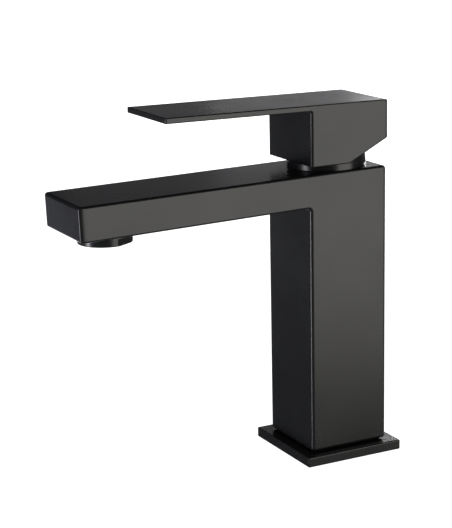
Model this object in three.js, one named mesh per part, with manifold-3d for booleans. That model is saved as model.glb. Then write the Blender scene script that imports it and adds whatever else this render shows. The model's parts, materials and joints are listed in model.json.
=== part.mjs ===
// Single-lever basin mixer: square column, flat straight spout and a block handle with a lever plate.
// Millimetres, +Z up. The origin is on the deck, on the column's axis, and the spout points along -Y.
// The lever is shown level over the spout, which is the closed position.
import * as THREE from 'three';
import { mergeVertices } from 'three/addons/utils/BufferGeometryUtils.js';
import Module from 'manifold-3d';

const wasm = await Module();
wasm.setup();

const GAP = 0.3; // clearance between separate pieces
const CUT = 1; // how far a cutter runs past the face it opens
const FINE = 64; // sides of the large round pieces
const MEDIUM = 36; // sides of bores and discs
const COARSE = 16; // sides of small holes
const SMALL = 8; // sides of drillings and of the thinnest rings
const HEX = 6;

// Outside of the mixer
const COLUMN_WIDTH = 42.4;
const BODY_TOP = 145; // top face of the body above the deck
const SPOUT_REACH = 118.8; // column axis to outlet axis
const SPOUT_NOSE = 20.9; // outlet axis to the end face
const SPOUT_THICKNESS = 16.65;
const SPOUT_FALL = 2.5; // how much lower the spout's far end is
const NOSE_LEAN = 0.5; // how far the end face leans in at its foot
const BODY_EDGE = 1.5; // rounding of the body's side edges
const BODY_CORNER = 1.6; // rounding of the body's cross edges, as seen from the side
const ARMPIT_RADIUS = 1.8; // rounding between the column and the spout's underside
const PLATE_OVERHANG = 5.3;
const PLATE_THICKNESS = 5;
const PLATE_EDGE = 0.4;
const GASKET_MARGIN = 1.5; // plate bore to the gasket
const GASKET_WIDTH = 3;
const GASKET_HEIGHT = 2;

// Body passages
const FLANGE_RADIUS = 19; // foot's flange, which passes through the plate and stands on the deck
const FOOT_RADIUS = 16.5; // foot's plug, which screws into the column
const FOOT_TOP = 18;
const INLET_X = 7.5;
const INLET_Y = 5;
const INLET_SOCKET_RADIUS = 4.5; // M10 x 1 hose thread
const INLET_SOCKET_DEPTH = 12;
const INLET_BORE_RADIUS = 3.6;
const OUTLET_PORT_Y = -8.5;
const STUD_Y = -10;
const STUD_SOCKET_RADIUS = 3.4; // M8 fixing stud thread
const STUD_SOCKET_DEPTH = 14;
const SOCKET_BUSH_WALL = 1.2; // threaded bushes in the foot
const RISER_RADIUS = 3;
const RISER_SIDE_WALL = 3.2;
const RISER_FRONT_WALL = 1.6;
const RISER_MEETING = 0.9; // how far the spout channel runs into the risers
const DUCT_TOP_DROP = 4; // chamber floor to the roof of the cross duct
const DUCT_HEIGHT = 6;
const CHANNEL_HEIGHT = 4.5;
const CORE_WALL = 3.5;
const CORE_ROOF = 4;
const FRONT_CORE_DEPTH = 12;
const REAR_CORE_DEPTH = 6;

// Cartridge, 35 mm ceramic type
const CHAMBER_RADIUS = 17.8;
const NUT_THREAD_RADIUS = 18.4;
const NUT_THREAD_DEPTH = 6;
const NUT_RISE = 4; // how far the nut stands above the body's top
const NUT_HEAD_RADIUS = 15.2;
const NUT_SLOT_WIDTH = 4;
const NUT_SLOT_DEPTH = 1.8;
const HOUSING_RADIUS = 17.5;
const HOUSING_CHAMBER_RADIUS = 15.5;
const NECK_RADIUS = 13.2;
const NECK_BORE_RADIUS = 11.2;
const NECK_RISE = 4.2; // neck above the body's top
const BASE_THICKNESS = 4.7;
const PORT_RADIUS = 3.6;
const SEAL_OUTER_RADIUS = 5;
const SEAL_THICKNESS = 1.6;
const DISC_THICKNESS = 3;
const MIXING_POCKET_RADIUS = 7.6;
const CARRIER_THICKNESS = 5.1;
const CARRIER_WEB = 0.8; // carrier below the ball's slot
const GUIDE_FLANGE = 3.2;
const LIMIT_RING_THICKNESS = 1.6;
const LIMIT_LUG = 2.4;

// Lever mechanism
const PIVOT_RISE = 2; // lift pivot above the body's top
const LIFT_ANGLE = THREE.MathUtils.degToRad(25);
const TURRET_RISE = 5; // turret above the lift pivot
const SPINDLE_SQUARE = 8;
const SPINDLE_EYE = 7.4;
const SPINDLE_RISE = 24; // spindle end above the lift pivot
const ARM_LENGTH = 18.5; // lift pivot to the ball in the disc carrier
const ARM_RADIUS = 2.1;
const BALL_RADIUS = 2.5;
const EYE_DEPTH = 4.5; // eye below the lift pivot
const EYE_ROOM = 1.5; // free height below the eye
const SHANK_ROOM = 1; // turret top to the spindle's square, and flange to the ball slot's roof
const PIN_RADIUS = 1.5;

// Cover ring
const RING_MARGIN = 1.8; // ring foot inside the column's side
const RING_TAPER = 0.8;
const RING_HEIGHT = 7;
const RING_SEAL_SLACK = 0.7; // ring bore outside its seal
const RING_ROOF = 1.2;
const RING_EDGE = 0.5;
const RING_SEAL_RADIUS = 0.6;

// Handle
const HANDLE_LIFT_OFF = 2.85; // block underside above the body's top
const BLOCK_HEIGHT = 29.2;
const BLOCK_SETBACK = 0.6; // block front face behind the column's front
const BLOCK_OVERHANG = 1; // block rear face behind the column's rear
const HEEL_START = 0.75; // where the rear underside begins to rise
const HEEL_RISE = 10.7;
const LEVER_TIP = 96.1; // lever end ahead of the axis
const LEVER_THICKNESS = 2.8;
const LEVER_RISE = 1.3; // how much higher the lever's top is at its end than at the rear
const HANDLE_EDGE = 0.5;
const HANDLE_SIDE_WALL = 1.2;
const HANDLE_ROOF = 4.5;
const POCKET_CORNER = 3;
const BOSS_WALL = 2;
const BOSS_REAR = 13;
const BUSH_WALL = 1.7;
const BUSH_HEIGHT = 8.8;
const SCREW_RADIUS = 2.4;
const SCREW_LENGTH = 6;
const SCREW_SOCKET = 2.5; // across flats
const SCREW_SOCKET_DEPTH = 3;
const PLUG_RADIUS = 3;
const PLUG_LENGTH = 3;

// Outlet
const SEAT_RADIUS = 12; // M24 x 1 thread in the spout
const SEAT_FACE_RADIUS = 13.7;
const SEAT_FACE_DEPTH = 0.4;
const SEAT_DEPTH = 4.6;
const OUTLET_RADIUS = 8.5;
const AERATOR_RADIUS = 13;
const AERATOR_DROP = 6; // how far the aerator hangs below the spout
const AERATOR_BAND = 2.4; // full round band above the spanner flats
const AERATOR_FLAT = 23.6; // across the spanner flats
const AERATOR_FLAT_TURN = 30; // degrees that the flats are turned from X
const AERATOR_BORE_RADIUS = 10.2;
const AERATOR_LIP = 1;
const AERATOR_LIP_RADIUS = 9.6;
const AERATOR_GASKET = 1;
const SCREEN_THICKNESS = 1.2;
const SCREEN_PITCH = 3.2;
const SCREEN_HOLE_RADIUS = 1.2;
const SCREEN_RINGS = 2;
const FLOW_DISC_THICKNESS = 1.6;
const FLOW_HOLES = 12;
const FLOW_HOLE_RADIUS = 0.8;
const FLOW_HOLE_CIRCLE = 7.6;
const INSERT_WALL = 1.5;

// Heights and places worked out from the sizes above
const half = COLUMN_WIDTH / 2;
const blockFront = half - BLOCK_SETBACK;
const blockRear = half + BLOCK_OVERHANG;
const ringFootRadius = half - RING_MARGIN;
const ringTopRadius = ringFootRadius - RING_TAPER;
const ringFootBore = NUT_HEAD_RADIUS + GAP + 2 * RING_SEAL_RADIUS + RING_SEAL_SLACK;
const columnFoot = PLATE_THICKNESS + GAP;
const threadFloor = BODY_TOP - NUT_THREAD_DEPTH;
const shoulder = threadFloor - GAP;
const pivotZ = BODY_TOP + PIVOT_RISE;
const ballZ = pivotZ - ARM_LENGTH;
const carrierFloor = ballZ - BALL_RADIUS - GAP - CARRIER_WEB;
const movingDiscFloor = carrierFloor - GAP - DISC_THICKNESS;
const fixedDiscFloor = movingDiscFloor - GAP - DISC_THICKNESS;
const baseTop = fixedDiscFloor - GAP;
const baseFloor = baseTop - BASE_THICKNESS;
const chamberFloor = baseFloor - GAP;
const spoutTip = SPOUT_REACH + SPOUT_NOSE;
const slope = SPOUT_FALL / (spoutTip - half);
const undersideAt = (reach) => BODY_TOP - SPOUT_THICKNESS - slope * (reach - half);
const seatFace = undersideAt(SPOUT_REACH) + SEAT_FACE_DEPTH;
const channelTop = shoulder;
const channelFloor = channelTop - CHANNEL_HEIGHT;
const ductTop = chamberFloor - DUCT_TOP_DROP;
const ductFloor = ductTop - DUCT_HEIGHT;
const riserX = half - RISER_SIDE_WALL - RISER_RADIUS;
const riserY = -(half - RISER_FRONT_WALL - RISER_RADIUS);
const guideFloor = carrierFloor + CARRIER_THICKNESS + GAP;
const turretFoot = guideFloor + GUIDE_FLANGE;
const turretTop = pivotZ + TURRET_RISE;
const discTravel = ARM_LENGTH * Math.sin(LIFT_ANGLE);
const discRestY = discTravel / 2;
const movingDiscRadius = HOUSING_CHAMBER_RADIUS - GAP - discRestY;
const neckTop = BODY_TOP + NECK_RISE;
const nutTop = BODY_TOP + NUT_RISE;
const blockFloor = BODY_TOP + HANDLE_LIFT_OFF;
const handleTop = blockFloor + BLOCK_HEIGHT;
const topAt = (ahead) => handleTop + (LEVER_RISE * (ahead + blockRear)) / (LEVER_TIP + blockRear);
const pocketRoof = handleTop - HANDLE_ROOF;
const spindleTop = pivotZ + SPINDLE_RISE;
const bushFloor = spindleTop - BUSH_HEIGHT;
const bushHalf = SPINDLE_SQUARE / 2 + GAP + BUSH_WALL;
const screwZ = spindleTop - BUSH_HEIGHT / 2;
const aeratorFloor = seatFace - GAP - AERATOR_DROP;
const aeratorTop = seatFace + SEAT_DEPTH - AERATOR_GASKET - 2 * GAP;

// Geometry helpers. Each returns a manifold solid, so that pieces can be joined and cut.
function solid(geometry) {
  const bare = geometry.clone();
  for (const name of Object.keys(bare.attributes)) {
    if (name !== 'position') bare.deleteAttribute(name);
  }
  const merged = mergeVertices(bare, 1e-5);
  return new wasm.Manifold(new wasm.Mesh({
    numProp: 3,
    vertProperties: new Float32Array(merged.attributes.position.array),
    triVerts: new Uint32Array(merged.index.array),
  }));
}

function box(x0, x1, y0, y1, z0, z1) {
  const geometry = new THREE.BoxGeometry(x1 - x0, y1 - y0, z1 - z0);
  return solid(geometry.translate((x0 + x1) / 2, (y0 + y1) / 2, (z0 + z1) / 2));
}

function post(radius, z0, z1, x = 0, y = 0, sides = MEDIUM) {
  const geometry = new THREE.CylinderGeometry(radius, radius, z1 - z0, sides);
  return solid(geometry.rotateX(Math.PI / 2).translate(x, y, (z0 + z1) / 2));
}

// A round bar along Y, as for a screw hole through a wall.
function barY(radius, y0, y1, z, sides = COARSE) {
  const geometry = new THREE.CylinderGeometry(radius, radius, y1 - y0, sides);
  return solid(geometry.translate(0, (y0 + y1) / 2, z));
}

// A round bar along X, as for a cross pin.
function barX(radius, x0, x1, z, sides = COARSE) {
  const geometry = new THREE.CylinderGeometry(radius, radius, x1 - x0, sides);
  return solid(geometry.rotateZ(Math.PI / 2).translate((x0 + x1) / 2, 0, z));
}

// A ring turned from a closed section, listed up the outside and down the inside as [radius, height].
function turned(section, sides = MEDIUM) {
  const points = [...section, section[0]].map(([radius, z]) => new THREE.Vector2(radius, z));
  return solid(new THREE.LatheGeometry(points, sides).rotateX(Math.PI / 2));
}

function ring(outer, inner, z0, z1, sides = MEDIUM) {
  return turned([[outer, z0], [outer, z1], [inner, z1], [inner, z0]], sides);
}

// An outline whose corners, listed anticlockwise as [across, up, radius], are rounded by arcs.
function roundedOutline(corners) {
  const shape = new THREE.Shape();
  corners.forEach(([x, y, radius = 0], i) => {
    const corner = new THREE.Vector2(x, y);
    const before = corners.at(i - 1);
    const after = corners[(i + 1) % corners.length];
    const back = new THREE.Vector2(before[0], before[1]).sub(corner).normalize();
    const ahead = new THREE.Vector2(after[0], after[1]).sub(corner).normalize();
    const halfAngle = Math.acos(back.dot(ahead)) / 2;
    const reach = radius / Math.tan(halfAngle);
    const start = corner.clone().addScaledVector(back, reach);
    const end = corner.clone().addScaledVector(ahead, reach);
    if (i === 0) shape.moveTo(start.x, start.y);
    else shape.lineTo(start.x, start.y);
    if (radius === 0) return;
    const centre = back.clone().add(ahead).normalize();
    centre.multiplyScalar(radius / Math.sin(halfAngle)).add(corner);
    const clockwise = back.cross(ahead) > 0;
    const from = start.sub(centre).angle();
    const to = end.sub(centre).angle();
    shape.absarc(centre.x, centre.y, radius, from, to, clockwise);
  });
  shape.closePath();
  return shape;
}

// A side outline in the Y-Z plane, extruded across X between the sides, with every edge rounded.
function sidePlate(corners, halfWidth, edge) {
  const geometry = new THREE.ExtrudeGeometry(roundedOutline(corners), {
    depth: 2 * (halfWidth - edge),
    curveSegments: 3,
    bevelThickness: edge,
    bevelSize: edge,
    bevelOffset: -edge,
    bevelSegments: 3,
  });
  const axes = new THREE.Matrix4().makeBasis(
    new THREE.Vector3(0, 1, 0),
    new THREE.Vector3(0, 0, 1),
    new THREE.Vector3(1, 0, 0),
  );
  return solid(geometry.translate(0, 0, edge - halfWidth).applyMatrix4(axes));
}

// An upright block with rounded upright corners.
function pillar(x0, x1, y0, y1, z0, z1, corner) {
  const outline = roundedOutline([
    [x0, y0, corner], [x1, y0, corner], [x1, y1, corner], [x0, y1, corner],
  ]);
  const geometry = new THREE.ExtrudeGeometry(outline, {
    depth: z1 - z0, bevelEnabled: false, curveSegments: 3,
  });
  return solid(geometry.translate(0, 0, z0));
}

const joined = (...pieces) => pieces.reduce((whole, piece) => whole.add(piece));
const cut = (whole, ...cutters) => cutters.reduce((left, cutter) => left.subtract(cutter), whole);

// Materials
const finish = (color, roughness, metalness) =>
  new THREE.MeshStandardMaterial({ color, roughness, metalness });
const blackCoat = finish('#2b2b2d', 0.45, 0.3);
const brass = finish('#b08d4c', 0.4, 1);
const steel = finish('#b4b6b8', 0.3, 1);
const rubber = finish('#1c1c1c', 0.8, 0);
const paleAcetal = finish('#d9d8d2', 0.5, 0);
const darkAcetal = finish('#3a3c40', 0.5, 0);
const redAcetal = finish('#a8322c', 0.5, 0);
const alumina = finish('#efece4', 0.25, 0);
const greyNylon = finish('#8d9195', 0.55, 0);

const mixer = new THREE.Group();

function part(name, whole, material, group = mixer) {
  const { vertProperties, triVerts } = whole.getMesh();
  const geometry = new THREE.BufferGeometry();
  geometry.setAttribute('position', new THREE.BufferAttribute(new Float32Array(vertProperties), 3));
  geometry.setIndex(new THREE.BufferAttribute(new Uint32Array(triVerts), 1));
  geometry.computeVertexNormals();
  const mesh = new THREE.Mesh(geometry, material);
  mesh.name = name;
  group.add(mesh);
}

// The column and spout, one casting: two inlet bores, a duct and two risers that carry mixed water
// up the front corners to the spout channel, and two cored hollows, open below, that save metal.
function bodyCasting() {
  const outside = sidePlate([
    [half, PLATE_THICKNESS - 2 * BODY_EDGE],
    [half, BODY_TOP, BODY_CORNER],
    [-spoutTip, BODY_TOP - SPOUT_FALL, BODY_CORNER],
    [NOSE_LEAN - spoutTip, undersideAt(spoutTip), BODY_CORNER],
    [-half, BODY_TOP - SPOUT_THICKNESS, ARMPIT_RADIUS],
    [-half, PLATE_THICKNESS - 2 * BODY_EDGE],
  ], half, BODY_EDGE);
  const belowColumn = box(-COLUMN_WIDTH, COLUMN_WIDTH, -COLUMN_WIDTH, COLUMN_WIDTH, -CUT, columnFoot);
  return cut(
    outside,
    belowColumn,
    post(FOOT_RADIUS + GAP, columnFoot - CUT, FOOT_TOP + GAP),
    post(CHAMBER_RADIUS, chamberFloor, BODY_TOP, 0, 0, FINE),
    post(NUT_THREAD_RADIUS, threadFloor, BODY_TOP + CUT, 0, 0, FINE),
    ...inletBores(),
    ...outletWay(),
    ...cores(),
  );
}

function inletBores() {
  return [-INLET_X, INLET_X].flatMap((x) => [
    post(SEAL_OUTER_RADIUS + GAP, FOOT_TOP, FOOT_TOP + 2 * GAP + SEAL_THICKNESS, x, INLET_Y, COARSE),
    post(INLET_BORE_RADIUS, FOOT_TOP, chamberFloor + CUT, x, INLET_Y, COARSE),
  ]);
}

function outletWay() {
  const ductHalf = riserX + RISER_RADIUS;
  const channelRear = riserY - RISER_RADIUS + RISER_MEETING;
  return [
    post(PORT_RADIUS, ductTop - CUT, chamberFloor + CUT, 0, OUTLET_PORT_Y, COARSE),
    box(-ductHalf, ductHalf, riserY - RISER_RADIUS, OUTLET_PORT_Y + PORT_RADIUS, ductFloor, ductTop),
    post(RISER_RADIUS, ductFloor, channelTop, -riserX, riserY, COARSE),
    post(RISER_RADIUS, ductFloor, channelTop, riserX, riserY, COARSE),
    box(-ductHalf, ductHalf, -SPOUT_REACH, channelRear, channelFloor, channelTop),
    post(OUTLET_RADIUS, seatFace, channelTop, 0, -SPOUT_REACH),
    post(SEAT_RADIUS, seatFace - CUT, seatFace + SEAT_DEPTH, 0, -SPOUT_REACH, FINE),
    post(SEAT_FACE_RADIUS, seatFace - SEAT_FACE_DEPTH - CUT, seatFace, 0, -SPOUT_REACH, FINE),
  ];
}

function cores() {
  const wide = half - CORE_WALL;
  const top = ductFloor - CORE_ROOF;
  return [
    box(-wide, wide, -wide, FRONT_CORE_DEPTH - wide, FOOT_TOP, top),
    box(-wide, wide, wide - REAR_CORE_DEPTH, wide, FOOT_TOP, top),
  ];
}

// The brass foot closes the cored column from below. Its three threaded bushes take the two hoses
// and the fixing stud.
function inletFoot() {
  const inletSeat = INLET_SOCKET_RADIUS + SOCKET_BUSH_WALL + GAP;
  const studSeat = STUD_SOCKET_RADIUS + SOCKET_BUSH_WALL + GAP;
  return cut(
    joined(post(FLANGE_RADIUS, 0, PLATE_THICKNESS), post(FOOT_RADIUS, 0, FOOT_TOP)),
    ...[-INLET_X, INLET_X].flatMap((x) => [
      post(inletSeat, -CUT, INLET_SOCKET_DEPTH + GAP, x, INLET_Y, COARSE),
      post(INLET_BORE_RADIUS, INLET_SOCKET_DEPTH, FOOT_TOP + CUT, x, INLET_Y, COARSE),
    ]),
    post(studSeat, -CUT, STUD_SOCKET_DEPTH + GAP, 0, STUD_Y, COARSE),
  );
}

function socketBush(bore, depth, x, y) {
  return ring(bore + SOCKET_BUSH_WALL, bore, 0, depth, COARSE).translate([x, y, 0]);
}

// The square plate under the column, grooved beneath for its gasket.
const gasketInner = FLANGE_RADIUS + GASKET_MARGIN;
const gasketOuter = gasketInner + GASKET_WIDTH;

function basePlate() {
  const reach = half + PLATE_OVERHANG;
  return cut(
    pillar(-reach, reach, -reach, reach, 0, PLATE_THICKNESS, PLATE_EDGE),
    post(FLANGE_RADIUS + GAP, -CUT, PLATE_THICKNESS + CUT, 0, 0, FINE),
    ring(gasketOuter + GAP, gasketInner - GAP, -CUT, GASKET_HEIGHT + GAP, FINE),
  );
}

// The cover ring hides the nut between the body and the handle.
function coverRing() {
  const foot = BODY_TOP + GAP;
  const top = foot + RING_HEIGHT;
  const hole = NECK_RADIUS + GAP;
  return turned([
    [ringFootRadius, foot],
    [ringTopRadius, top - RING_EDGE],
    [ringTopRadius - RING_EDGE, top],
    [hole, top],
    [hole, top - RING_ROOF],
    [ringFootBore - RING_TAPER, top - RING_ROOF],
    [ringFootBore, foot],
  ], FINE);
}

// The ring of rubber that grips the cover ring on the nut's head.
function coverRingSeal() {
  const middle = NUT_HEAD_RADIUS + GAP + RING_SEAL_RADIUS;
  const torus = new THREE.TorusGeometry(middle, RING_SEAL_RADIUS, SMALL, MEDIUM);
  return solid(torus.translate(0, 0, BODY_TOP + NUT_RISE / 2));
}

function cartridgeNut() {
  const bore = NECK_RADIUS + GAP;
  const nut = turned([
    [NUT_THREAD_RADIUS - GAP, threadFloor + GAP],
    [NUT_THREAD_RADIUS - GAP, BODY_TOP - GAP],
    [NUT_HEAD_RADIUS, BODY_TOP - GAP],
    [NUT_HEAD_RADIUS, nutTop],
    [bore, nutTop],
    [bore, threadFloor + GAP],
  ], FINE);
  const slotFloor = nutTop - NUT_SLOT_DEPTH;
  const slotHalf = NUT_SLOT_WIDTH / 2;
  return cut(
    nut,
    box(-half, half, -slotHalf, slotHalf, slotFloor, nutTop + CUT),
    box(-slotHalf, slotHalf, -half, half, slotFloor, nutTop + CUT),
  );
}

function cartridgeHousing() {
  return turned([
    [HOUSING_RADIUS, fixedDiscFloor],
    [HOUSING_RADIUS, shoulder],
    [NECK_RADIUS, shoulder],
    [NECK_RADIUS, neckTop],
    [NECK_BORE_RADIUS, neckTop],
    [NECK_BORE_RADIUS, turretFoot + GAP],
    [HOUSING_CHAMBER_RADIUS, turretFoot + GAP],
    [HOUSING_CHAMBER_RADIUS, fixedDiscFloor],
  ], FINE);
}

// The three water ports, as [x, y]: hot, cold and mixed.
const hotPort = [-INLET_X, INLET_Y];
const coldPort = [INLET_X, INLET_Y];
const mixedPort = [0, OUTLET_PORT_Y];
const ports = [hotPort, coldPort, mixedPort];

function cartridgeBase() {
  const seatTop = baseFloor + SEAL_THICKNESS + GAP;
  return cut(
    post(HOUSING_RADIUS, baseFloor, baseTop, 0, 0, FINE),
    ...ports.map(([x, y]) => post(PORT_RADIUS, baseFloor - CUT, baseTop + CUT, x, y, COARSE)),
    ...ports.map(([x, y]) => post(SEAL_OUTER_RADIUS + GAP, baseFloor - CUT, seatTop, x, y, COARSE)),
  );
}

function portSeal([x, y], floor) {
  return ring(SEAL_OUTER_RADIUS, PORT_RADIUS, floor, floor + SEAL_THICKNESS, COARSE).translate([x, y, 0]);
}

function fixedDisc() {
  return cut(
    post(HOUSING_CHAMBER_RADIUS - GAP, fixedDiscFloor, fixedDiscFloor + DISC_THICKNESS),
    ...ports.map(([x, y]) => post(PORT_RADIUS, baseTop, movingDiscFloor, x, y, COARSE)),
  );
}

// The moving disc has a pocket in its underside that joins the inlets to the outlet when it slides forward.
function movingDisc() {
  return cut(
    post(movingDiscRadius, movingDiscFloor, movingDiscFloor + DISC_THICKNESS, 0, discRestY),
    post(MIXING_POCKET_RADIUS, movingDiscFloor - CUT, movingDiscFloor + DISC_THICKNESS / 2, 0, discRestY),
  );
}

function discCarrier() {
  const slot = BALL_RADIUS + GAP;
  const carrierTop = carrierFloor + CARRIER_THICKNESS;
  return cut(
    post(movingDiscRadius, carrierFloor, carrierTop, 0, discRestY),
    box(-slot, slot, -slot - GAP, slot + GAP, ballZ - slot, carrierTop + CUT),
  );
}

// The guide turns in the neck with the handle. Its slot lets the spindle rock about the cross pin.
function spindleGuide() {
  const armSwing = discTravel + BALL_RADIUS + GAP;
  const ballSlot = BALL_RADIUS + GAP;
  const armSlot = ARM_RADIUS + 2 * GAP;
  const eyeSlot = SPINDLE_EYE / 2 + 2 * GAP;
  const eyeFloor = pivotZ - EYE_DEPTH - EYE_ROOM;
  const eyeRock = SPINDLE_EYE / 2 + TURRET_RISE * Math.sin(LIFT_ANGLE);
  const shankRock = SPINDLE_SQUARE / 2 / Math.cos(LIFT_ANGLE) + TURRET_RISE * Math.tan(LIFT_ANGLE);
  const armRock = (pivotZ - turretFoot) * Math.sin(LIFT_ANGLE) + armSlot;
  return cut(
    joined(
      post(HOUSING_CHAMBER_RADIUS - GAP, guideFloor, turretFoot),
      post(NECK_BORE_RADIUS - GAP, guideFloor, turretTop),
    ),
    box(-ballSlot, ballSlot, -armSwing, ballSlot, guideFloor - CUT, turretFoot + SHANK_ROOM),
    box(-armSlot, armSlot, -armRock, armSlot, guideFloor, eyeFloor + CUT),
    box(-eyeSlot, eyeSlot, -eyeRock, shankRock + GAP, eyeFloor, turretTop + CUT),
    barX(PIN_RADIUS, -half, half, pivotZ),
  );
}

function spindle() {
  const square = SPINDLE_SQUARE / 2;
  const squareFloor = turretTop + SHANK_ROOM;
  const eye = SPINDLE_EYE / 2;
  const ball = solid(new THREE.SphereGeometry(BALL_RADIUS, COARSE, SMALL).translate(0, 0, ballZ));
  return cut(
    joined(
      box(-square, square, -square, square, squareFloor, spindleTop),
      box(-eye, eye, -eye, eye, pivotZ - EYE_DEPTH, squareFloor + CUT),
      post(ARM_RADIUS, ballZ, pivotZ - EYE_DEPTH + CUT, 0, 0, COARSE),
      ball,
    ),
    barX(PIN_RADIUS, -half, half, pivotZ),
  );
}

function spindlePin() {
  const reach = NECK_BORE_RADIUS - 3 * GAP;
  return barX(PIN_RADIUS - GAP, -reach, reach, pivotZ);
}

// The hot limit ring sits on the neck. Its lug is the stop for the turning guide.
function limitRing() {
  const floor = neckTop + GAP;
  const lugHalf = LIMIT_LUG / 2;
  const lugTop = floor + 2 * LIMIT_RING_THICKNESS;
  const lug = box(-lugHalf, lugHalf, NECK_BORE_RADIUS + GAP, NECK_RADIUS - GAP, floor, lugTop);
  return joined(ring(NECK_RADIUS - GAP / 2, NECK_BORE_RADIUS, floor, floor + LIMIT_RING_THICKNESS), lug);
}

// The handle: a hollow block over the cartridge and the lever plate in one casting.
function handle() {
  const outside = sidePlate([
    [-LEVER_TIP, handleTop + LEVER_RISE - LEVER_THICKNESS],
    [-blockFront, topAt(blockFront) - LEVER_THICKNESS],
    [-blockFront, blockFloor],
    [HEEL_START, blockFloor],
    [blockRear, blockFloor + HEEL_RISE],
    [blockRear, handleTop],
    [-LEVER_TIP, handleTop + LEVER_RISE],
  ], half, HANDLE_EDGE);
  const inner = half - HANDLE_SIDE_WALL;
  const pocketFront = HANDLE_SIDE_WALL - blockFront;
  const pocketRear = blockRear - HANDLE_SIDE_WALL;
  const pocket = pillar(-inner, inner, pocketFront, pocketRear, blockFloor - CUT, pocketRoof, POCKET_CORNER);
  const socket = bushHalf + GAP;
  const bossHalf = socket + BOSS_WALL;
  const boss = box(-bossHalf, bossHalf, -bossHalf, BOSS_REAR, bushFloor - GAP, pocketRoof + CUT);
  return cut(
    outside.subtract(pocket).add(boss),
    box(-socket, socket, -socket, socket, bushFloor - GAP - CUT, spindleTop + GAP),
    barY(SCREW_RADIUS + GAP, 0, BOSS_REAR + CUT, screwZ),
    barY(PLUG_RADIUS + GAP, BOSS_REAR, blockRear + CUT, screwZ),
  );
}

function spindleBush() {
  const inner = SPINDLE_SQUARE / 2 + GAP;
  return cut(
    box(-bushHalf, bushHalf, -bushHalf, bushHalf, bushFloor, spindleTop),
    box(-inner, inner, -inner, inner, bushFloor - CUT, spindleTop + CUT),
  );
}

function handleScrew() {
  const tip = bushHalf + GAP;
  const end = tip + SCREW_LENGTH;
  const corner = SCREW_SOCKET / Math.sqrt(3);
  return cut(
    barY(SCREW_RADIUS, tip, end, screwZ),
    barY(corner, end - SCREW_SOCKET_DEPTH, end + CUT, screwZ, HEX),
  );
}

function indexPlug() {
  return barY(PLUG_RADIUS, blockRear - PLUG_LENGTH, blockRear, screwZ, MEDIUM);
}

// The aerator's sleeve: a threaded neck, a round band and two spanner flats.
function aeratorSleeve() {
  const bandTop = seatFace - GAP;
  const bandFloor = bandTop - AERATOR_BAND;
  const outer = turned([
    [AERATOR_RADIUS, aeratorFloor],
    [AERATOR_RADIUS, bandTop],
    [SEAT_RADIUS - GAP, bandTop],
    [SEAT_RADIUS - GAP, aeratorTop],
    [AERATOR_BORE_RADIUS, aeratorTop],
    [AERATOR_BORE_RADIUS, aeratorFloor + AERATOR_LIP],
    [AERATOR_LIP_RADIUS, aeratorFloor],
  ], FINE);
  const near = AERATOR_FLAT / 2;
  const far = AERATOR_RADIUS + CUT;
  return cut(
    outer,
    box(near, far, -far, far, aeratorFloor - CUT, bandFloor).rotate([0, 0, AERATOR_FLAT_TURN]),
    box(-far, -near, -far, far, aeratorFloor - CUT, bandFloor).rotate([0, 0, AERATOR_FLAT_TURN]),
  );
}

const insertRadius = AERATOR_BORE_RADIUS - GAP;
const screenFloor = aeratorFloor + AERATOR_LIP + GAP;
const insertFloor = screenFloor + SCREEN_THICKNESS + GAP;
const flowDiscFloor = aeratorTop - FLOW_DISC_THICKNESS;

function aeratorScreen() {
  const holes = [[0, 0]];
  for (let count = 1; count <= SCREEN_RINGS; count += 1) {
    for (let i = 0; i < HEX * count; i += 1) {
      const turn = (2 * Math.PI * i) / (HEX * count);
      holes.push([count * SCREEN_PITCH * Math.cos(turn), count * SCREEN_PITCH * Math.sin(turn)]);
    }
  }
  return cut(
    post(insertRadius, screenFloor, screenFloor + SCREEN_THICKNESS),
    ...holes.map(([x, y]) => post(SCREEN_HOLE_RADIUS, screenFloor - CUT, insertFloor, x, y, HEX)),
  );
}

function aeratorInsert() {
  const top = flowDiscFloor - GAP;
  return ring(insertRadius, insertRadius - INSERT_WALL, insertFloor, top);
}

function flowDisc() {
  const holes = Array.from({ length: FLOW_HOLES }, (_, i) => {
    const turn = (2 * Math.PI * i) / FLOW_HOLES;
    const x = FLOW_HOLE_CIRCLE * Math.cos(turn);
    const y = FLOW_HOLE_CIRCLE * Math.sin(turn);
    return post(FLOW_HOLE_RADIUS, flowDiscFloor - CUT, aeratorTop + CUT, x, y, SMALL);
  });
  return cut(post(insertRadius, flowDiscFloor, aeratorTop), ...holes);
}

function aeratorGasket() {
  const floor = aeratorTop + GAP;
  return ring(SEAT_RADIUS - GAP, OUTLET_RADIUS, floor, floor + AERATOR_GASKET);
}

part('body', bodyCasting(), blackCoat);
part('inlet_foot', inletFoot(), brass);
part('hot_inlet_bush', socketBush(INLET_SOCKET_RADIUS, INLET_SOCKET_DEPTH, -INLET_X, INLET_Y), steel);
part('cold_inlet_bush', socketBush(INLET_SOCKET_RADIUS, INLET_SOCKET_DEPTH, INLET_X, INLET_Y), steel);
part('stud_bush', socketBush(STUD_SOCKET_RADIUS, STUD_SOCKET_DEPTH, 0, STUD_Y), steel);
part('base_plate', basePlate(), blackCoat);
part('base_gasket', ring(gasketOuter, gasketInner, 0, GASKET_HEIGHT, FINE), rubber);
part('cover_ring', coverRing(), blackCoat);
part('cover_ring_seal', coverRingSeal(), rubber);
part('cartridge_nut', cartridgeNut(), brass);
part('cartridge_housing', cartridgeHousing(), paleAcetal);
part('cartridge_base', cartridgeBase(), darkAcetal);
part('hot_port_seal', portSeal(hotPort, baseFloor), rubber);
part('cold_port_seal', portSeal(coldPort, baseFloor), rubber);
part('mixed_port_seal', portSeal(mixedPort, baseFloor), rubber);
part('hot_foot_seal', portSeal(hotPort, FOOT_TOP + GAP), rubber);
part('cold_foot_seal', portSeal(coldPort, FOOT_TOP + GAP), rubber);
part('fixed_ceramic_disc', fixedDisc(), alumina);
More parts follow.
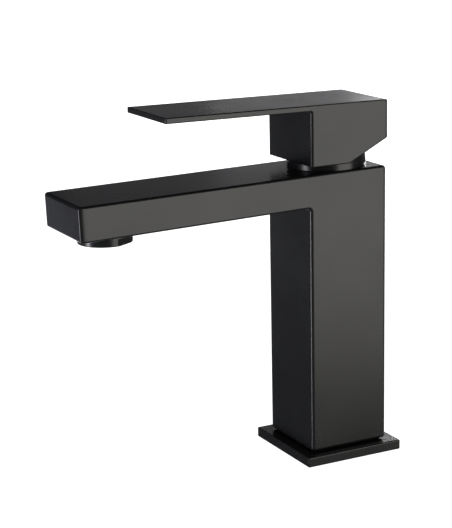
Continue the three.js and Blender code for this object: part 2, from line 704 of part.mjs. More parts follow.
part('moving_ceramic_disc', movingDisc(), alumina);
part('disc_carrier', discCarrier(), darkAcetal);
part('spindle_guide', spindleGuide(), darkAcetal);
part('limit_ring', limitRing(), redAcetal);
part('spindle', spindle(), brass);
part('spindle_pin', spindlePin(), steel);
part('handle', handle(), blackCoat);
part('spindle_bush', spindleBush(), greyNylon);
part('handle_screw', handleScrew(), steel);
part('index_plug', indexPlug(), blackCoat);

const outlet = new THREE.Group();
outlet.position.y = -SPOUT_REACH;
mixer.add(outlet);
part('aerator_sleeve', aeratorSleeve(), blackCoat, outlet);
part('aerator_screen', aeratorScreen(), greyNylon, outlet);
part('aerator_insert', aeratorInsert(), greyNylon, outlet);
part('aerator_flow_disc', flowDisc(), greyNylon, outlet);
part('aerator_gasket', aeratorGasket(), rubber, outlet);

export default mixer;
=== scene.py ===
"""Single-lever square basin mixer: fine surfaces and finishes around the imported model.

Shapes are worked out in millimetres and written to the meshes in metres. X runs across the column,
-Y runs along the spout and +Z runs up from the deck.
"""

import json
import math

import bpy
import numpy as np
from mathutils import Matrix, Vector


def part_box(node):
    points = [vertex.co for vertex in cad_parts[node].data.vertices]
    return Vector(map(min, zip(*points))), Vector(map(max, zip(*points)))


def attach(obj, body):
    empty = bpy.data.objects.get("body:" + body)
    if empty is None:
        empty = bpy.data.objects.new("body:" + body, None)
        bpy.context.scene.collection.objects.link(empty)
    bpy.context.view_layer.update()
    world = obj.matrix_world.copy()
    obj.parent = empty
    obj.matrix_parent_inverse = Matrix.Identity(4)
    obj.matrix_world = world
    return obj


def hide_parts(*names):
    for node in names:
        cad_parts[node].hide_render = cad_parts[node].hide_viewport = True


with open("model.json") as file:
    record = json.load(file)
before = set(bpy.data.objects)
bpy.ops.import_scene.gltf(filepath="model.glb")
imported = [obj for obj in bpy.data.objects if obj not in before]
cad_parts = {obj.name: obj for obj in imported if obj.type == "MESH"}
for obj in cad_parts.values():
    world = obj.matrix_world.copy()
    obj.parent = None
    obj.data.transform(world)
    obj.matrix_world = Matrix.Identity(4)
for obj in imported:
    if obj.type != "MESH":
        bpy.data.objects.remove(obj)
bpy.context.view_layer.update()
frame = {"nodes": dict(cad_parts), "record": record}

MM = 0.001
GAP = 0.3
LEAST_RADIUS = 0.02  # the sharpest that an outline's outside corner gets
RIM_SAMPLES = 8  # sums per step along a rim
RUN_OUT_TURN = math.radians(12)  # how close to the face, in turn, a rim eases out


def box_mm(name):
    """The lowest and highest corner of a node, in millimetres."""
    low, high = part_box(name)
    return np.array(low) / MM, np.array(high) / MM


# ---------------------------------------------------------------------------
# Camera and studio
# ---------------------------------------------------------------------------

CAMERA_PLACE = (0.67447, -0.40147, 0.29109)
CAMERA_AZIMUTH = -27.099  # degrees from +X towards +Y, as seen from the mixer
CAMERA_ELEVATION = 14.053
CAMERA_ROLL = -1.2
CAMERA_LENS = 110.82
STUDIO_MIDDLE = (0, 0, 0.1)  # the point that the softboxes face
SOFTBOXES = [
    # name, azimuth, elevation, distance, width, height, watts, colour
    ("side_softbox", 23, 1.8, 1.0, 0.8, 0.8, 4.6, (1.0, 0.98, 0.93)),
    ("front_strip", -94, -4, 1.0, 0.2, 0.7, 5, (0.93, 0.92, 1.0)),
    ("left_panel", -172, -12, 1.3, 0.3, 0.24, 0.78, (0.85, 0.86, 1.0)),
    ("back_glow", 154, 9, 1.3, 0.5, 0.16, 0.062, (0.99, 0.98, 1.0)),
    ("lever_glow", 149.5, 7, 1.3, 0.28, 0.1, 0.085, (0.99, 0.98, 1.0)),
    ("rear_strip", 143, 8, 1.3, 0.2, 0.12, 0.15, (0.99, 0.98, 1.0)),
    ("back_softbox", 128, 7, 1.3, 0.7, 0.24, 12, (0.99, 0.98, 1.0)),
    ("rear_low_softbox", 105, -24, 1.2, 0.7, 0.4, 1.8, (1.0, 0.99, 0.97)),
    ("far_low_softbox", 168, -26, 1.2, 0.6, 0.4, 1.3, (0.97, 0.98, 1.0)),
]
ROOM_STRENGTH = 0.12
TABLE_GLOW = 1.1
FLOOR_REACH = 12


def facing_inwards(azimuth, elevation):
    """The turn that points an object's -Z back along a direction given in degrees, its Y upwards."""
    turn = Matrix.Rotation(math.radians(azimuth), 4, "Z") @ Matrix.Rotation(math.radians(-elevation), 4, "Y")
    return turn @ Matrix.Rotation(math.radians(90), 4, "Y") @ Matrix.Rotation(math.radians(90), 4, "Z")


def make_camera():
    """A long lens, a little above the spout, on the spout's right-hand side."""
    data = bpy.data.cameras.new("camera")
    data.lens = CAMERA_LENS
    data.clip_start = 0.01
    data.clip_end = 50
    camera = bpy.data.objects.new("camera", data)
    roll = Matrix.Rotation(math.radians(CAMERA_ROLL), 4, "Z")
    turn = facing_inwards(CAMERA_AZIMUTH, CAMERA_ELEVATION) @ roll
    camera.matrix_world = Matrix.Translation(CAMERA_PLACE) @ turn
    bpy.context.scene.collection.objects.link(camera)
    bpy.context.scene.camera = camera


def make_softbox(name, azimuth, elevation, distance, width, height, power, colour):
    """An area light on a sphere round the mixer, facing the middle of the column."""
    data = bpy.data.lights.new(name, "AREA")
    data.shape = "RECTANGLE"
    data.size = width
    data.size_y = height
    data.energy = power
    data.color = colour
    lamp = bpy.data.objects.new(name, data)
    middle = Matrix.Translation(STUDIO_MIDDLE)
    out = Matrix.Translation((0, 0, distance))
    lamp.matrix_world = middle @ facing_inwards(azimuth, elevation) @ out
    lamp.visible_camera = False
    bpy.context.scene.collection.objects.link(lamp)


def srgb(code):
    """A linear colour from an sRGB hex value."""
    parts = [int(code[i:i + 2], 16) / 255 for i in (1, 3, 5)]
    return tuple(c / 12.92 if c <= 0.04045 else ((c + 0.055) / 1.055) ** 2.4 for c in parts) + (1,)


def add_node(tree, kind, settings=None, inputs=None, links=None):
    """Adds a shader node: its settings, its socket values, and links from other sockets."""
    made = tree.nodes.new(kind)
    for key, value in (settings or {}).items():
        setattr(made, key, value)
    for key, value in (inputs or {}).items():
        made.inputs[key].default_value = value
    for key, socket in (links or {}).items():
        tree.links.new(socket, made.inputs[key])
    return made


def make_studio():
    """A pale table and the softboxes in a dim grey room. Reflections don't show the table."""
    world = bpy.data.worlds.new("studio")
    bpy.context.scene.world = world
    world.use_nodes = True
    world.node_tree.nodes["Background"].inputs["Color"].default_value = srgb("#8a8c92")
    world.node_tree.nodes["Background"].inputs["Strength"].default_value = ROOM_STRENGTH

    grid = np.array([[-1, -1, 0], [1, -1, 0], [1, 1, 0], [-1, 1, 0]], float) * FLOOR_REACH
    mesh = bpy.data.meshes.new("table_top")
    mesh.from_pydata(grid.tolist(), [], [(0, 1, 2, 3)])
    table = bpy.data.objects.new("table_top", mesh)
    bpy.context.scene.collection.objects.link(table)
    paint = bpy.data.materials.new("white_table_laminate")
    paint.use_nodes = True
    shader = paint.node_tree.nodes["Principled BSDF"]
    shader.inputs["Base Color"].default_value = srgb("#d8d8d8")
    shader.inputs["Roughness"].default_value = 0.9
    shader.inputs["Emission Color"].default_value = (1, 1, 1, 1)
    shader.inputs["Emission Strength"].default_value = TABLE_GLOW
    mesh.materials.append(paint)
    table.visible_glossy = False
    table.visible_shadow = False

    for row in SOFTBOXES:
        make_softbox(*row)
    bpy.context.scene.view_settings.view_transform = "Standard"


# ---------------------------------------------------------------------------
# Surfaces
# ---------------------------------------------------------------------------


def new_piece(name, points, faces):
    """An object at the origin whose mesh holds the points, given in millimetres."""
    mesh = bpy.data.meshes.new(name)
    mesh.from_pydata((np.asarray(points, float) * MM).tolist(), [], faces)
    mesh.validate()
    piece = bpy.data.objects.new(name, mesh)
    bpy.context.scene.collection.objects.link(piece)
    return piece


def grid_faces(rows, columns, wrap_rows=False):
    """Four-sided faces between neighbouring rows of points; columns always close on themselves."""
    last = rows if wrap_rows else rows - 1
    row, column = np.meshgrid(np.arange(last), np.arange(columns), indexing="ij")
    up, right = (row + 1) % rows, (column + 1) % columns
    corners = [row * columns + column, row * columns + right, up * columns + right, up * columns + column]
    return np.stack(corners, -1).reshape(-1, 4).tolist()


def outline(corners, steps, inset=0.0):
    """A polygon's outline with rounded corners and its sides moved in, as points and corner shares.

    A corner is [across, up, radius]. Each side, which starts at the corner with its number, moves in
    by its inset. A corner goes to where its two moved sides meet. Its arc's radius shrinks by the
    mean inset on an outside corner and grows by it on an inside corner, and its direction turns
    evenly from one side's outward normal to the next. The share runs from 0 to 1 along each arc.
    """
    corners = np.array(corners, float)
    place, radius = corners[:, :2], corners[:, 2]
    inset = inset + 0 * radius
    ahead = np.roll(place, -1, 0) - place
    ahead /= np.linalg.norm(ahead, axis=1)[:, None]
    back = np.roll(ahead, 1, 0)
    normal_out = np.stack([ahead[:, 1], -ahead[:, 0]], 1)
    normal_in = np.roll(normal_out, 1, 0)
    out, into = -inset, -np.roll(inset, 1)
    cross = normal_in[:, 0] * normal_out[:, 1] - normal_in[:, 1] * normal_out[:, 0]
    moved = place + np.stack([
        (into * normal_out[:, 1] - out * normal_in[:, 1]) / cross,
        (out * normal_in[:, 0] - into * normal_out[:, 0]) / cross,
    ], 1)
    turn = np.arctan2(back[:, 0] * ahead[:, 1] - back[:, 1] * ahead[:, 0], (back * ahead).sum(1))
    mean = -(out + into) / 2
    signed = np.where(turn > 0, np.maximum(radius - mean, LEAST_RADIUS), -(radius + mean))
    centre = moved - (normal_in + normal_out) * (signed / (1 + (normal_in * normal_out).sum(1)))[:, None]
    share = np.linspace(0, 1, steps + 1)
    angle = np.arctan2(normal_in[:, 1], normal_in[:, 0])[:, None] + turn[:, None] * share
    direction = np.stack([np.cos(angle), np.sin(angle)], -1)
    points = centre[:, None] + signed[:, None, None] * direction
    return points.reshape(-1, 2), np.tile(share, len(corners))


def rim_profile(radius, run_out, steps):
    """How far a rounded rim has moved in from the side, and how far it still is from the flat face.

    The rim's normal turns evenly from the side to the face. Its radius of curvature is the radius
    plus, close to the face, run_out * 2 / (sqrt(pi) * RUN_OUT_TURN) * exp(-(angle / RUN_OUT_TURN)^2),
    which eases the rim into the face over about the run-out. Both distances are running sums.
    """
    angle = np.radians(np.linspace(90, 0, RIM_SAMPLES * steps + 1))
    middle = (angle[1:] + angle[:-1]) / 2
    easing = run_out * 2 / (math.sqrt(math.pi) * RUN_OUT_TURN)
    bend = radius[:, None] + easing[:, None] * np.exp(-((middle / RUN_OUT_TURN) ** 2))
    step = angle[0] - angle[1]
    moved = np.pad(np.cumsum(bend * np.cos(middle) * step, 1), ((0, 0), (1, 0)))
    risen = np.pad(np.cumsum(bend * np.sin(middle) * step, 1), ((0, 0), (1, 0)))
    return moved[:, ::RIM_SAMPLES], (risen[:, -1:] - risen)[:, ::RIM_SAMPLES]


def rounded_extrusion(name, corners, half_width, steps=12):
    """A plate across X with a side outline in Y and Z, whose rims are rounded side by side.

    A corner is [Y, Z, radius, rim radius, run-out]. The last two belong to the rim along the side
    that starts there.
    """
    corners = np.array(corners, float)
    moved, left = rim_profile(corners[:, 3], corners[:, 4], steps)
    rows = []
    for inset, depth in zip(moved.T, left.T):
        flat, share = outline(corners[:, :3], steps, inset)
        blend = np.repeat(np.roll(depth, 1), steps + 1) * (1 - share) + np.repeat(depth, steps + 1) * share
        rows.append(np.column_stack([half_width - blend, flat]))
    near = np.array(rows)
    far = near[::-1] * (-1, 1, 1)
    points = np.concatenate([far, near])
    count, columns = points.shape[:2]
    faces = grid_faces(count, columns)
    first = list(range(columns))[::-1]
    last = list(range((count - 1) * columns, count * columns))
    return new_piece(name, points.reshape(-1, 3), faces + [first, last])


def turned(name, section, centre=(0, 0), sides=128, axis="Z", closed=False):
    """A surface of revolution: each [radius, height] of the section goes round the axis.

    A closed section makes a ring, and an open one is capped flat at both ends.
    """
    section = np.array(section, float)
    turn = np.linspace(0, 2 * np.pi, sides, endpoint=False)
    radius, height = section[:, :1], section[:, 1:]
    around = np.stack([radius * np.cos(turn), radius * np.sin(turn), height + 0 * turn], -1)
    rows = len(section)
    faces = grid_faces(rows, sides, wrap_rows=closed)
    if not closed:
        faces.append(list(range(sides))[::-1])
        faces.append(list(range((rows - 1) * sides, rows * sides)))
    points = around.reshape(-1, 3)
    if axis == "Y":
        points = np.stack([points[:, 1], points[:, 2], points[:, 0]], 1)
        shift = (centre[0], 0, centre[1])
    elif axis == "X":
        points = np.stack([points[:, 2], points[:, 0], points[:, 1]], 1)
        shift = (0, centre[0], centre[1])
    else:
        shift = (centre[0], centre[1], 0)
    return new_piece(name, points + np.array(shift), faces)


def rounded_section(corners, steps=5):
    """The outline of a turned section, with its corners rounded."""
    return outline(corners, steps)[0]


def block(name, low, high, corner=0.0):
    """A square cutter or boss between two corners, with its upright edges rounded by corner if given."""
    (x0, y0, z0), (x1, y1, z1) = low, high
    if corner:
        flat = rounded_section([[x0, y0, corner], [x1, y0, corner], [x1, y1, corner], [x0, y1, corner]])
    else:
        flat = np.array([[x0, y0], [x1, y0], [x1, y1], [x0, y1]], float)
    count = len(flat)
    points = np.concatenate([np.insert(flat, 2, z0, 1), np.insert(flat, 2, z1, 1)])
    faces = grid_faces(2, count) + [list(range(count))[::-1], list(range(count, 2 * count))]
    return new_piece(name, points, faces)


def carve(piece, cutters, operation="DIFFERENCE"):
    """Cuts the cutters out of a piece, or joins them to it, and keeps the result as its mesh."""
    for cutter in cutters:
        step = piece.modifiers.new(cutter.name, "BOOLEAN")
        step.operation = operation
        step.solver = "EXACT"
        step.object = cutter
    bpy.context.view_layer.update()
    evaluated = piece.evaluated_get(bpy.context.evaluated_depsgraph_get())
    mesh = bpy.data.meshes.new_from_object(evaluated)
    piece.modifiers.clear()
    old = piece.data
    piece.data = mesh
    mesh.name = piece.name
    bpy.data.meshes.remove(old)
    for cutter in cutters:
        bpy.data.objects.remove(cutter)
    return piece


def smooth(piece, sharp=40):
    """Smooth shading that stays crisp at corners sharper than the angle and flat on wide faces."""
    piece.data.shade_smooth()
    piece.data.set_sharp_from_angle(angle=math.radians(sharp))
    weigh = piece.modifiers.new("weighted_normals", "WEIGHTED_NORMAL")
    weigh.keep_sharp = True
    return piece


def dress(piece, material, body, slot, *nodes):
    """Gives a piece its finish, its moving body and the nodes it stands for. The slot is not used."""
    piece.data.materials.clear()
    piece.data.materials.append(material)
    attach(piece, body)
    if nodes:
        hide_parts(*nodes)


# ---------------------------------------------------------------------------
# Finishes
# ---------------------------------------------------------------------------


def new_finish(name, colour, roughness, metallic=0.0, ior=None):
    """A material with its Principled shader's plain values set."""
    material = bpy.data.materials.new(name)
    material.use_nodes = True
    shader = material.node_tree.nodes["Principled BSDF"]
    shader.inputs["Base Color"].default_value = srgb(colour)
    shader.inputs["Roughness"].default_value = roughness
    shader.inputs["Metallic"].default_value = metallic
    if ior:
        shader.inputs["IOR"].default_value = ior
    return material, material.node_tree, shader


def grain(tree, size_mm, stretch=(1, 1, 1), detail=3.0, turn=(0, 0, 0)):
    """Noise on Object coordinates whose features are size_mm across, drawn out by stretch."""
    coordinates = add_node(tree, "ShaderNodeTexCoord")
    mapping = add_node(
        tree, "ShaderNodeMapping",
        inputs={"Scale": tuple(1 / s for s in stretch), "Rotation": turn},
        links={"Vector": coordinates.outputs["Object"]},
    )
    return add_node(
        tree, "ShaderNodeTexNoise",
        inputs={"Scale": 1 / (size_mm * MM), "Detail": detail, "Roughness": 0.55},
        links={"Vector": mapping.outputs["Vector"]},
    ).outputs["Fac"]


MIDDLE_RANGE = (0.3, 0.7)  # where most of a noise's values lie


def spread(tree, value, low, high, to_low, to_high):
    """A value's middle range stretched to other limits."""
    return add_node(
        tree, "ShaderNodeMapRange",
        inputs={"From Min": low, "From Max": high, "To Min": to_low, "To Max": to_high},
        links={"Value": value},
    ).outputs["Result"]


CLOUD_SIZE = 28
PEEL_SIZE = 0.7  # the real orange peel is about this coarse
STROKE_SIZE = 0.45
STROKE_STRETCH = (1, 1, 14)
STROKE_TURN = (math.radians(52), 0, 0)
COAT_SHEEN = (0.23, 0.28)  # roughness, from the smoothest cloud to the roughest


def matte_black_powder_coat(name="matte_black_powder_coat", brushed=False):
    """Baked satin-black powder coat on cast metal: a fine, low orange peel and slow cloudy changes of
    sheen, so that flat faces show a soft graded reflection and rounded edges a bright line. The
    brushed one also lets slanting grinding marks in the metal below show through."""
    material, tree, shader = new_finish(name, "#161617", COAT_SHEEN[1], ior=1.5)
    clouds = grain(tree, CLOUD_SIZE, detail=2)
    fine = grain(tree, PEEL_SIZE, detail=2)
    tint = add_node(
        tree, "ShaderNodeMix", {"data_type": "RGBA"},
        inputs={"A": srgb("#151516"), "B": srgb("#191a1a")},
        links={"Factor": clouds},
    )
    tree.links.new(tint.outputs["Result"], shader.inputs["Base Color"])
    tree.links.new(spread(tree, clouds, *MIDDLE_RANGE, *COAT_SHEEN), shader.inputs["Roughness"])
    bump = add_node(
        tree, "ShaderNodeBump",
        inputs={"Strength": 0.012, "Distance": 0.04 * MM},
        links={"Height": fine},
    )
    if brushed:
        strokes = grain(tree, STROKE_SIZE, stretch=STROKE_STRETCH, detail=3, turn=STROKE_TURN)
        bump = add_node(
            tree, "ShaderNodeBump",
            inputs={"Strength": 0.35, "Distance": 0.06 * MM},
            links={"Height": strokes, "Normal": bump.outputs["Normal"]},
        )
    tree.links.new(bump.outputs["Normal"], shader.inputs["Normal"])
    return material


def plain_finish(name, colour, darker, roughness, size_mm, metallic=0.0, stretch=(1, 1, 1), bump=0.1):
    """A finish whose colour and roughness vary with one grain, which also gives its relief."""
    material, tree, shader = new_finish(name, colour, roughness, metallic)
    marks = grain(tree, size_mm, stretch)
    tint = add_node(
        tree, "ShaderNodeMix", {"data_type": "RGBA"},
        inputs={"A": srgb(darker), "B": srgb(colour)},
        links={"Factor": spread(tree, marks, *MIDDLE_RANGE, 0.0, 1.0)},
    )
    tree.links.new(tint.outputs["Result"], shader.inputs["Base Color"])
    rough = spread(tree, marks, *MIDDLE_RANGE, roughness * 0.85, roughness * 1.15)
    tree.links.new(rough, shader.inputs["Roughness"])
    relief = add_node(
        tree, "ShaderNodeBump",
        inputs={"Strength": bump, "Distance": 0.05 * MM},
        links={"Height": marks},
    )
    tree.links.new(relief.outputs["Normal"], shader.inputs["Normal"])
    return material


# ---------------------------------------------------------------------------
# Sizes shared by the pieces, in millimetres
# ---------------------------------------------------------------------------

body_low, body_high = box_mm("body")
plate_high = box_mm("base_plate")[1]
ring_high = box_mm("cover_ring")[1]
handle_low, handle_high = box_mm("handle")
sleeve_low, sleeve_high = box_mm("aerator_sleeve")
foot_high = box_mm("inlet_foot")[1]
plug_low, plug_high = box_mm("index_plug")

HALF = body_high[0]
BODY_TOP = body_high[2]
BODY_FOOT = body_low[2]
SPOUT_END = body_low[1]
SPOUT_THICKNESS = 16.65
SPOUT_FALL = 2.5  # how much lower the spout's far end is
NOSE_LEAN = 0.5  # how far the end face leans in at its foot
BODY_CORNER = 1.6
FOOT_CORNER = 2.0
ARMPIT_RADIUS = 1.8
COLUMN_RIM = (1.7, 0.2)  # rounding of an upright edge, and its run-out
TOP_RIM = (1.4, 0.0)
NOSE_RIM = (1.3, 2.6)
UNDERSIDE_RIM = (1.0, 0.0)
CHAMBER_RADIUS = 17.8
CHAMBER_DEPTH = 32
NUT_THREAD_RADIUS = 18.4
NUT_THREAD_DEPTH = 6
FOOT_RECESS_RADIUS = 16.8
OUTLET_Y = (sleeve_low[1] + sleeve_high[1]) / 2
OUTLET_RADIUS = 8.5
OUTLET_DEPTH = 4
SEAT_RADIUS = 12
SEAT_FACE_RADIUS = 13.7
SEAT_FACE_DEPTH = 0.4
SEAT_DEPTH = 4.6
PAST = 1  # how far a cutter runs past the face it opens
FINE_OVERLAP = 0.5
FINE_GAP = 0.03
PLATE_CORNER = 0.5
PLATE_RIM = (0.6, 0.0)
GROOVE_WIDTH = 3.6
RING_SEAT_DEPTH = 0.8
RING_TOP_RADIUS = 18.6
RING_HOLE_RADIUS = 13.5
RING_WALL = 2.0
RING_ROOF = 1.2
BLOCK_FRONT = 20.6
LEVER_RISE = 1.3  # how much higher the lever's top is at its end than at the rear
LEVER_THICKNESS = 2.8
LEVER_CORNER = 0.4
LEVER_END_RIM = (0.5, 0.0)
LEVER_TOP_RIM = (0.8, 0.0)
BLOCK_CORNER = 0.8
BLOCK_FRONT_RIM = (1.5, 0.1)
BLOCK_FLOOR_RIM = (0.7, 0.0)
BLOCK_REAR_RIM = (1.5, 0.5)
REAR_TOP_RIM = (0.6, 0.0)
REAR_TOP_CORNER = 0.9
HEEL_CORNER = 2.0
HEEL_TOP_CORNER = 1.0
HEEL_RIM = (0.9, 0.0)
HEEL_START = 0.75  # where the rear underside begins to rise
HEEL_RISE = 10.7
HANDLE_WALL = 1.2
HANDLE_ROOF = 4.5
POCKET_CORNER = 3
BOSS_WALL = 2
BOSS_REAR = 13
SCREW_HOLE_RADIUS = 2.7
PLUG_HOLE_FLOOR = 13
AXIS_RADIUS = 0.01  # a turned solid starts this close to its axis
AXIS_CORNER = 0.001
SLEEVE_RADIUS = 13.0
SLEEVE_BORE = 10.2
SLEEVE_LIP = 9.6
SLEEVE_LIP_HEIGHT = 1
SLEEVE_BAND = 2.4
SLEEVE_FLAT = 11.8  # axis to each spanner flat
SLEEVE_FLAT_TURN = 30

slope = SPOUT_FALL / (-SPOUT_END - HALF)
underside_at_outlet = BODY_TOP - SPOUT_THICKNESS - slope * (-OUTLET_Y - HALF)
seat_face = underside_at_outlet + SEAT_FACE_DEPTH


def make_body(coat):
    """The column and spout. Its side outline is an upside-down L that thins a little to the spout's end."""
    tip_bottom = BODY_TOP - SPOUT_THICKNESS - SPOUT_FALL
    corners = [
        [HALF, BODY_FOOT, FOOT_CORNER, *COLUMN_RIM],
        [HALF, BODY_TOP, BODY_CORNER, *TOP_RIM],
        [SPOUT_END, BODY_TOP - SPOUT_FALL, BODY_CORNER, *NOSE_RIM],
        [SPOUT_END + NOSE_LEAN, tip_bottom, BODY_CORNER, *UNDERSIDE_RIM],
        [-HALF, BODY_TOP - SPOUT_THICKNESS, ARMPIT_RADIUS, *COLUMN_RIM],
        [-HALF, BODY_FOOT, FOOT_CORNER, *COLUMN_RIM],
    ]
    piece = rounded_extrusion("body_casting", corners, HALF)
    chamber = [
        [CHAMBER_RADIUS, BODY_TOP - CHAMBER_DEPTH],
        [CHAMBER_RADIUS, BODY_TOP - NUT_THREAD_DEPTH],
        [NUT_THREAD_RADIUS, BODY_TOP - NUT_THREAD_DEPTH],
        [NUT_THREAD_RADIUS, BODY_TOP + FINE_OVERLAP],
    ]
    seat = [
        [SEAT_FACE_RADIUS, seat_face - 2 * PAST],
        [SEAT_FACE_RADIUS, seat_face],
        [SEAT_RADIUS, seat_face],
        [SEAT_RADIUS, seat_face + SEAT_DEPTH],
        [OUTLET_RADIUS, seat_face + SEAT_DEPTH],
        [OUTLET_RADIUS, seat_face + SEAT_DEPTH + OUTLET_DEPTH],
    ]
    seat_rim = ring_high[0] + FINE_GAP
    ring_seat = [[seat_rim, BODY_TOP - RING_SEAT_DEPTH], [seat_rim, BODY_TOP + FINE_OVERLAP]]
    recess = [[FOOT_RECESS_RADIUS, BODY_FOOT - FINE_OVERLAP], [FOOT_RECESS_RADIUS, foot_high[2] + GAP]]
    carve(piece, [
        turned("chamber", chamber),
        turned("ring_seat", ring_seat, sides=192),
        turned("seat", seat, (0, OUTLET_Y)),
        turned("recess", recess),
    ])
    dress(smooth(piece), coat, "mixer_body", "matte_black_coat", "body")


def make_base_plate(coat):
    """The square plate: sharp edges broken by a small radius, bored for the foot and grooved below."""
    half = plate_high[0]
    top = plate_high[2]
    corners = [[half, 0], [half, top], [-half, top], [-half, 0]]
    corners = [corner + [PLATE_CORNER, *PLATE_RIM] for corner in corners]
    piece = rounded_extrusion("square_base_plate", corners, half)
    groove_high = box_mm("base_gasket")[1]
    outer = groove_high[0] + GAP
    inner = outer - GROOVE_WIDTH
    roof = groove_high[2] + GAP
    bore = foot_high[0] + GAP
    groove = turned("groove", [[outer, -PAST], [outer, roof], [inner, roof], [inner, -PAST]], closed=True)
    carve(piece, [turned("bore", [[bore, -PAST], [bore, top + PAST]]), groove])
    dress(smooth(piece), coat, "mixer_body", "matte_black_coat", "base_plate")


def make_cover_ring(coat):
    """The tapered ring between the body and the handle, set in its round seat in the sloping top."""
    foot, top = BODY_TOP - RING_SEAT_DEPTH, ring_high[2]
    outer = ring_high[0]
    section = rounded_section([
        [outer, foot, 0.25],
        [RING_TOP_RADIUS, top, 0.7],
        [RING_HOLE_RADIUS, top, 0.3],
        [RING_HOLE_RADIUS, top - RING_ROOF, 0.2],
        [RING_TOP_RADIUS - RING_WALL, top - RING_ROOF, 0.3],
        [outer - RING_WALL, foot, 0.2],
    ])
    piece = turned("cover_ring_shell", section, sides=192, closed=True)
    dress(smooth(piece), coat, "mixer_body", "matte_black_coat", "cover_ring")


def make_handle(coat):
    """The hollow block and the lever plate, one casting with its spindle socket inside."""
    top = handle_high[2]
    rear, tip, floor = handle_high[1], handle_low[1], handle_low[2]
    rear_top = top - LEVER_RISE
    top_at_front = rear_top + LEVER_RISE * (rear + BLOCK_FRONT) / (rear - tip)
    corners = [
        [tip, top - LEVER_THICKNESS, LEVER_CORNER, *LEVER_END_RIM],
        [-BLOCK_FRONT, top_at_front - LEVER_THICKNESS, BLOCK_CORNER, *BLOCK_FRONT_RIM],
        [-BLOCK_FRONT, floor, BLOCK_CORNER, *BLOCK_FLOOR_RIM],
        [HEEL_START, floor, HEEL_CORNER, *HEEL_RIM],
        [rear, floor + HEEL_RISE, HEEL_TOP_CORNER, *BLOCK_REAR_RIM],
        [rear, rear_top, REAR_TOP_CORNER, *REAR_TOP_RIM],
        [tip, top, LEVER_CORNER, *LEVER_TOP_RIM],
    ]
    piece = rounded_extrusion("lever_handle", corners, HALF)
    inner = HALF - HANDLE_WALL
    roof = rear_top - HANDLE_ROOF
    pocket_low = (-inner, HANDLE_WALL - BLOCK_FRONT, floor - PAST)
    pocket = block("pocket", pocket_low, (inner, rear - HANDLE_WALL, roof), POCKET_CORNER)
    carve(piece, [pocket])
    bush_low, bush_high = box_mm("spindle_bush")
    socket = bush_high[0] + GAP
    boss = socket + BOSS_WALL
    carve(piece, [block("boss", (-boss, -boss, bush_low[2] - GAP), (boss, BOSS_REAR, roof + PAST))], "UNION")
    middle = (plug_low[2] + plug_high[2]) / 2
    screw_hole = [[SCREW_HOLE_RADIUS, 0], [SCREW_HOLE_RADIUS, PLUG_HOLE_FLOOR + PAST]]
    plug_radius = plug_high[0] + GAP
    plug_hole = [[plug_radius, PLUG_HOLE_FLOOR], [plug_radius, rear + PAST]]
    carve(piece, [
        block("socket", (-socket, -socket, bush_low[2] - 3 * PAST), (socket, socket, bush_high[2] + GAP)),
        turned("screw_hole", screw_hole, (0, middle), 48, "Y"),
        turned("plug_hole", plug_hole, (0, middle), 64, "Y"),
    ])
    dress(smooth(piece), coat, "lever", "matte_black_coat", "handle")


def make_index_plug(coat):
    """The round plug in the handle's rear, with a soft edge."""
    middle = (plug_low[2] + plug_high[2]) / 2
    radius = plug_high[0]
    section = rounded_section([
        [AXIS_RADIUS, plug_low[1], AXIS_CORNER],
        [radius, plug_low[1], 0.2],
        [radius, plug_high[1], 0.4],
        [AXIS_RADIUS, plug_high[1], AXIS_CORNER],
    ])
    piece = turned("plug_button", section, (0, middle), 64, "Y")
    dress(smooth(piece), coat, "lever", "matte_black_coat", "index_plug")


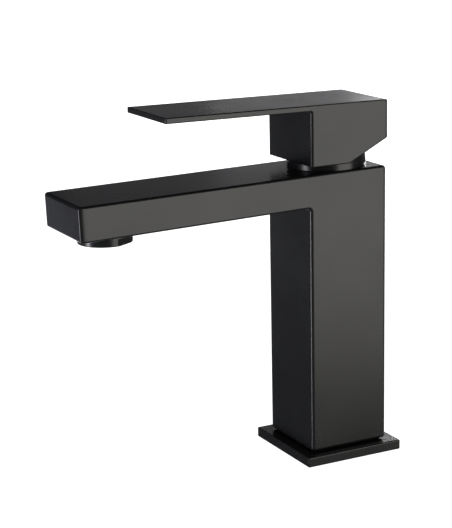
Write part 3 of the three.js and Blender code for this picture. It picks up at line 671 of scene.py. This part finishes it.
def make_aerator_sleeve(coat):
    """The outlet sleeve: threaded neck, round band and two spanner flats."""
    floor, top = sleeve_low[2], sleeve_high[2]
    band_top = seat_face - GAP
    band_floor = band_top - SLEEVE_BAND
    neck = SEAT_RADIUS - GAP
    section = rounded_section([
        [SLEEVE_RADIUS, floor, 0.5],
        [SLEEVE_RADIUS, band_top, 0.3],
        [neck, band_top, 0.1],
        [neck, top, 0.3],
        [SLEEVE_BORE, top, 0.2],
        [SLEEVE_BORE, floor + SLEEVE_LIP_HEIGHT, 0.2],
        [SLEEVE_LIP, floor, 0.2],
    ])
    piece = turned("outlet_sleeve", section, (0, OUTLET_Y), 192, closed=True)
    flats = []
    reach = SLEEVE_RADIUS + 2 * PAST
    for half_turn in (0, 180):
        flat = block("flat", (SLEEVE_FLAT, -reach, floor - PAST), (reach, reach, band_floor))
        turn = Matrix.Rotation(math.radians(SLEEVE_FLAT_TURN + half_turn), 4, "Z")
        flat.data.transform(Matrix.Translation((0, OUTLET_Y * MM, 0)) @ turn)
        flats.append(flat)
    carve(piece, flats)
    dress(smooth(piece), coat, "mixer_body", "matte_black_coat", "aerator_sleeve")


FINISHES = [
    # material slot, name, colour, darker colour, roughness, grain in mm, metallic, stretch, relief
    # Turned and milled brass: warm, with fine tool marks round it.
    ("bare_brass", "machined_brass", "#c9a566", "#b28f50", 0.28, 0.5, 1.0, (8, 1, 1), 0.12),
    # Ground stainless steel: cool and bright, with a short directional grain.
    ("stainless_steel", "ground_stainless_steel", "#b9bbbd", "#9fa1a4", 0.25, 0.3, 1.0, (6, 1, 1)),
    # Moulded nitrile rubber: dull black, with a slight bloom.
    ("black_rubber", "moulded_nitrile_rubber", "#1b1b1b", "#131313", 0.7, 0.4),
    # Moulded acetal: waxy, with a low moulding texture, in the colours of a cartridge's pieces.
    ("pale_acetal", "pale_moulded_acetal", "#d8d6cf", "#cbc9c1", 0.45, 0.8),
    ("dark_acetal", "dark_moulded_acetal", "#2e3033", "#26282a", 0.45, 0.8),
    ("red_acetal", "red_moulded_acetal", "#a23028", "#8c261f", 0.45, 0.8),
    # Lapped alumina: creamy white and nearly polished.
    ("alumina_ceramic", "lapped_alumina", "#efece3", "#e6e2d8", 0.18, 0.6),
    # Moulded nylon: plain grey, a little rougher than acetal.
    ("grey_nylon", "grey_moulded_nylon", "#8a8e92", "#7c8084", 0.5, 0.6),
]


def finish_carried_nodes():
    """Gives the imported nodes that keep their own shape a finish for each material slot."""
    finishes = {slot: plain_finish(*settings) for slot, *settings in FINISHES}
    slots = {row["node"]: row["material_slot"] for row in frame["record"]["subparts"]}
    for name, thing in frame["nodes"].items():
        if slots[name] in finishes:
            thing.data.materials.clear()
            thing.data.materials.append(finishes[slots[name]])


make_camera()
make_studio()
coat = matte_black_powder_coat()
plate_coat = matte_black_powder_coat("brushed_matte_black_coat", brushed=True)
make_body(coat)
make_base_plate(plate_coat)
make_cover_ring(coat)
make_handle(coat)
make_index_plug(coat)
make_aerator_sleeve(coat)
finish_carried_nodes()
